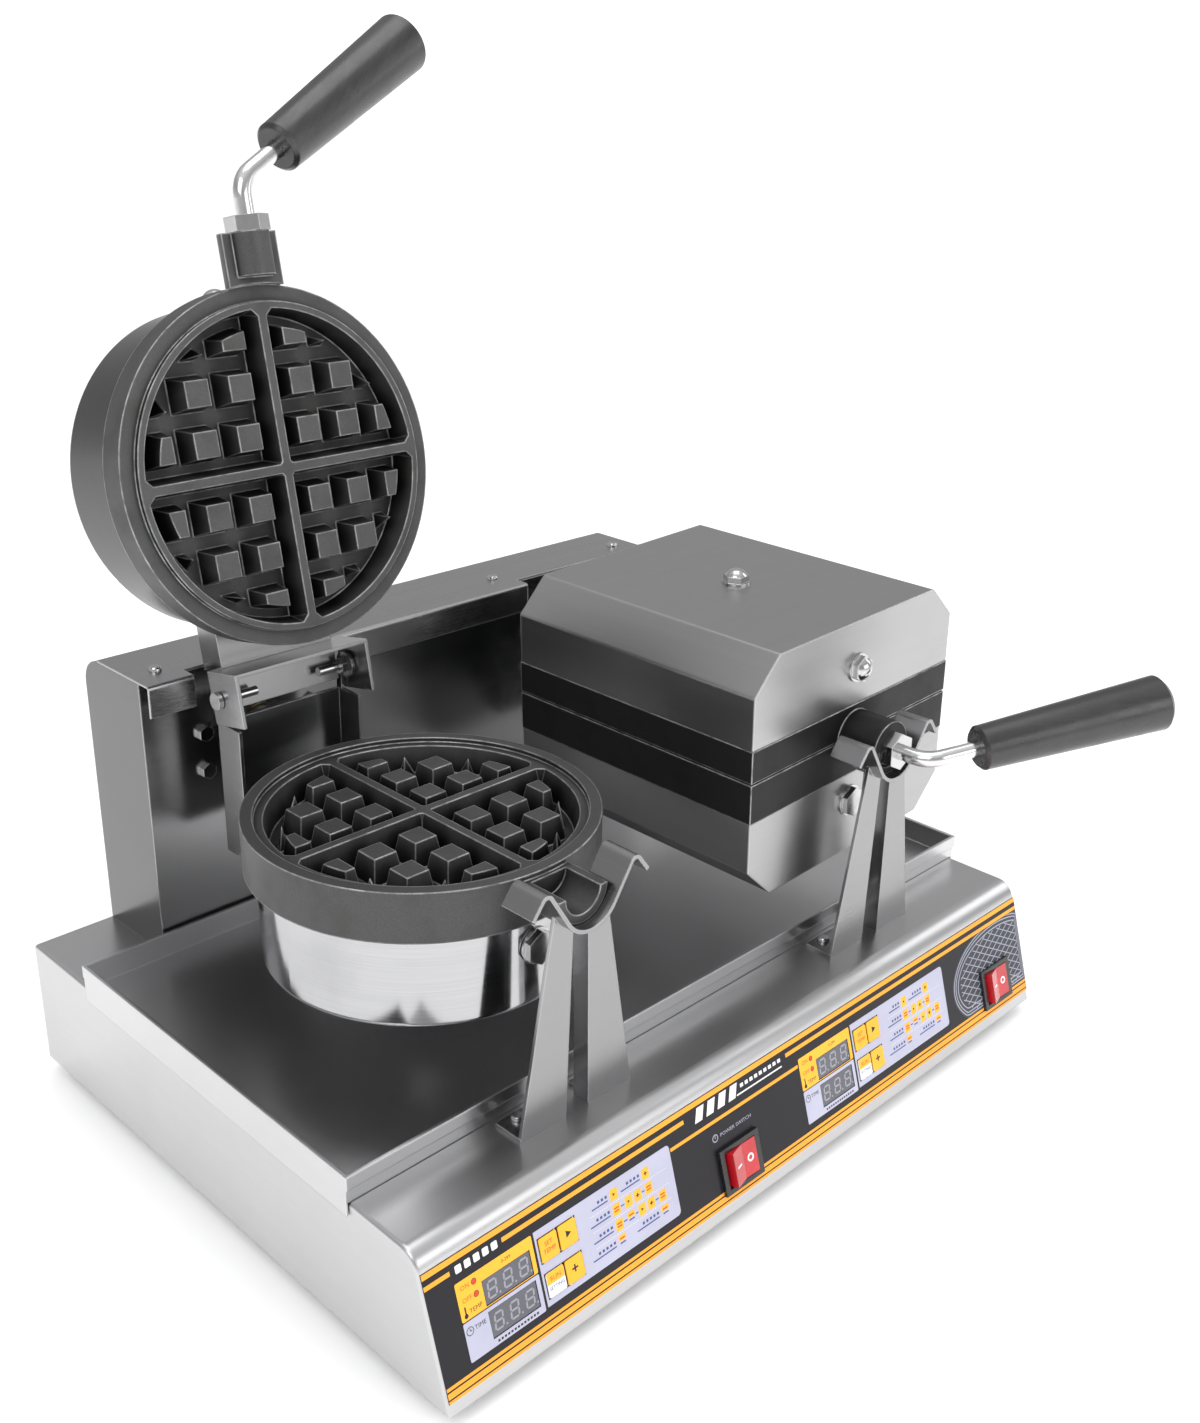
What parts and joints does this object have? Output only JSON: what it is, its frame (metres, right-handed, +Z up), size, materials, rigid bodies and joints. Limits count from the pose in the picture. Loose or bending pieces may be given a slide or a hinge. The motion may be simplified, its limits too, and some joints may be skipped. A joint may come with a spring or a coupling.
{
  "type": "double rotary waffle baker",
  "caption": "Countertop flip waffle baker with a round and a square mould on turning shafts, angled black grips, a rear housing, a drip tray and a sloped control panel.",
  "frame": {"origin": "middle of the overall bounding box, on the counter under the feet", "axes": "+X to the operator's right along the control panel, +Y towards the rear housing, +Z up"},
  "size_m": [0.4944, 0.4348, 0.5742],
  "materials": {
    "base_shell": "satin brushed",
    "base_bottom_plate": "satin brushed",
    "rubber_feet": "matt",
    "cable_gland": "matt black nylon",
    "housing_shell": "satin brushed",
    "housing_cap": "satin brushed",
    "cap_screws": "bright",
    "left_bearing": "machined bronze",
    "right_bearing": "machined bronze",
    "bearing_bolts": "bright",
    "left_cradle": "satin brushed",
    "right_cradle": "satin brushed",
    "cradle_screws": "bright",
    "control_overlay": "printed film, near-black navy with orange stripes",
    "left_display": "smoked window",
    "right_display": "smoked window",
    "left_control_board": "solder mask",
    "right_control_board": "solder mask",
    "power_board": "solder mask",
    "power_switch_frame": "black",
    "auxiliary_switch_frame": "black",
    "drip_tray": "satin brushed",
    "power_rocker": "red",
    "auxiliary_rocker": "red",
    "left_set_temp_key": "printed film dome",
    "left_next_key": "printed film dome",
    "left_run_key": "printed film dome",
    "left_plus_key": "printed film dome",
    "right_set_temp_key": "printed film dome",
    "right_next_key": "printed film dome",
    "right_run_key": "printed film dome",
    "right_plus_key": "printed film dome",
    "left_fork": "satin brushed",
    "left_hinge_pins": "bright",
    "left_lower_plate": "cast, black non-stick coating, worn bright on the edges",
    "left_lower_casing": "polished",
    "left_lower_heater": "oxidised sheath",
    "left_lower_bolts": "bright",
    "left_lid_bracket": "satin brushed",
    "left_upper_plate": "cast, black non-stick coating, worn bright on the edges",
    "left_upper_casing": "polished",
    "left_upper_heater": "oxidised sheath",
    "left_upper_cap_nuts": "bright",
    "left_handle_rod": "bright plated",
    "left_lock_nut": "bright plated",
    "left_handle_grip": "black phenolic",
    "right_fork": "satin brushed",
    "right_hinge_pins": "bright",
    "right_lower_plate": "cast, black non-stick coating, worn bright on the edges",
    "right_lower_casing": "satin brushed",
    "right_lower_heater": "oxidised sheath",
    "right_lower_bolts": "bright",
    "right_lid_bracket": "satin brushed",
    "right_upper_plate": "cast, black non-stick coating, worn bright on the edges",
    "right_upper_casing": "satin brushed",
    "right_upper_heater": "oxidised sheath",
    "right_upper_cap_nuts": "bright",
    "right_handle_rod": "bright plated",
    "right_lock_nut": "bright plated",
    "right_handle_grip": "black phenolic"
  },
  "bodies": {
    "base": {"base_shell": "base_shell", "base_bottom_plate": "base_bottom_plate", "rubber_feet": "rubber_feet", "cable_gland": "cable_gland", "housing_shell": "housing_shell", "housing_cap": "housing_cap", "cap_screws": "cap_screws", "left_bearing": "left_bearing", "right_bearing": "right_bearing", "bearing_bolts": "bearing_bolts", "left_cradle": "left_cradle", "right_cradle": "right_cradle", "cradle_screws": "cradle_screws", "control_overlay": "control_overlay", "left_display": "left_display", "right_display": "right_display", "left_control_board": "left_control_board", "right_control_board": "right_control_board", "power_board": "power_board", "power_switch_frame": "power_switch_frame", "auxiliary_switch_frame": "auxiliary_switch_frame"},
    "tray": {"drip_tray": "drip_tray"},
    "power_rocker": {"power_rocker": "power_rocker"},
    "auxiliary_rocker": {"auxiliary_rocker": "auxiliary_rocker"},
    "left_set_temp_key": {"left_set_temp_key": "left_set_temp_key"},
    "left_next_key": {"left_next_key": "left_next_key"},
    "left_run_key": {"left_run_key": "left_run_key"},
    "left_plus_key": {"left_plus_key": "left_plus_key"},
    "right_set_temp_key": {"right_set_temp_key": "right_set_temp_key"},
    "right_next_key": {"right_next_key": "right_next_key"},
    "right_run_key": {"right_run_key": "right_run_key"},
    "right_plus_key": {"right_plus_key": "right_plus_key"},
    "left_rotor": {"left_fork": "left_fork", "left_hinge_pins": "left_hinge_pins", "left_lower_plate": "left_lower_plate", "left_lower_casing": "left_lower_casing", "left_lower_heater": "left_lower_heater", "left_lower_bolts": "left_lower_bolts"},
    "left_lid": {"left_lid_bracket": "left_lid_bracket", "left_upper_plate": "left_upper_plate", "left_upper_casing": "left_upper_casing", "left_upper_heater": "left_upper_heater", "left_upper_cap_nuts": "left_upper_cap_nuts", "left_handle_rod": "left_handle_rod", "left_lock_nut": "left_lock_nut", "left_handle_grip": "left_handle_grip"},
    "right_rotor": {"right_fork": "right_fork", "right_hinge_pins": "right_hinge_pins", "right_lower_plate": "right_lower_plate", "right_lower_casing": "right_lower_casing", "right_lower_heater": "right_lower_heater", "right_lower_bolts": "right_lower_bolts"},
    "right_lid": {"right_lid_bracket": "right_lid_bracket", "right_upper_plate": "right_upper_plate", "right_upper_casing": "right_upper_casing", "right_upper_heater": "right_upper_heater", "right_upper_cap_nuts": "right_upper_cap_nuts", "right_handle_rod": "right_handle_rod", "right_lock_nut": "right_lock_nut", "right_handle_grip": "right_handle_grip"}
  },
  "joints": [
    {"name": "tray_lift", "type": "slide", "parent": "base", "child": "tray", "axis": [0, 0, 1], "range_m": [0, 0.02]},
    {"name": "power_rocker_tilt", "type": "hinge", "parent": "base", "child": "power_rocker", "pos_m": [-0.04578, -0.14387, 0.02929], "axis": [0, -0.2932, -0.9561], "range_deg": [0, 16]},
    {"name": "auxiliary_rocker_tilt", "type": "hinge", "parent": "base", "child": "auxiliary_rocker", "pos_m": [0.19952, -0.14378, 0.02958], "axis": [0, -0.2932, -0.9561], "range_deg": [0, 16]},
    {"name": "left_set_temp_key_press", "type": "slide", "parent": "base", "child": "left_set_temp_key", "axis": [0, 0.9561, -0.2932], "range_m": [0, 0.0004], "stiffness_N_per_m": 1000},
    {"name": "left_next_key_press", "type": "slide", "parent": "base", "child": "left_next_key", "axis": [0, 0.9561, -0.2932], "range_m": [0, 0.0004], "stiffness_N_per_m": 1000},
    {"name": "left_run_key_press", "type": "slide", "parent": "base", "child": "left_run_key", "axis": [0, 0.9561, -0.2932], "range_m": [0, 0.0004], "stiffness_N_per_m": 1000},
    {"name": "left_plus_key_press", "type": "slide", "parent": "base", "child": "left_plus_key", "axis": [0, 0.9561, -0.2932], "range_m": [0, 0.0004], "stiffness_N_per_m": 1000},
    {"name": "right_set_temp_key_press", "type": "slide", "parent": "base", "child": "right_set_temp_key", "axis": [0, 0.9561, -0.2932], "range_m": [0, 0.0004], "stiffness_N_per_m": 1000},
    {"name": "right_next_key_press", "type": "slide", "parent": "base", "child": "right_next_key", "axis": [0, 0.9561, -0.2932], "range_m": [0, 0.0004], "stiffness_N_per_m": 1000},
    {"name": "right_run_key_press", "type": "slide", "parent": "base", "child": "right_run_key", "axis": [0, 0.9561, -0.2932], "range_m": [0, 0.0004], "stiffness_N_per_m": 1000},
    {"name": "right_plus_key_press", "type": "slide", "parent": "base", "child": "right_plus_key", "axis": [0, 0.9561, -0.2932], "range_m": [0, 0.0004], "stiffness_N_per_m": 1000},
    {"name": "left_flip", "type": "hinge", "parent": "base", "child": "left_rotor", "pos_m": [-0.12578, 0.02687, 0.204], "axis": [0, -1, 0], "range_deg": [-5, 5]},
    {"name": "right_flip", "type": "hinge", "parent": "base", "child": "right_rotor", "pos_m": [0.11422, 0.02687, 0.204], "axis": [0, -1, 0], "range_deg": [0, 180]},
    {"name": "left_lid_close", "type": "hinge", "parent": "left_rotor", "child": "left_lid", "pos_m": [-0.12578, 0.11987, 0.2395], "axis": [1, 0, 0], "range_deg": [0, 101.4]},
    {"name": "right_lid_open", "type": "hinge", "parent": "right_rotor", "child": "right_lid", "pos_m": [0.11292, 0.11987, 0.23948], "axis": [0.9993, 0, 0.0366], "range_deg": [-101.4, 0]}
  ]
}
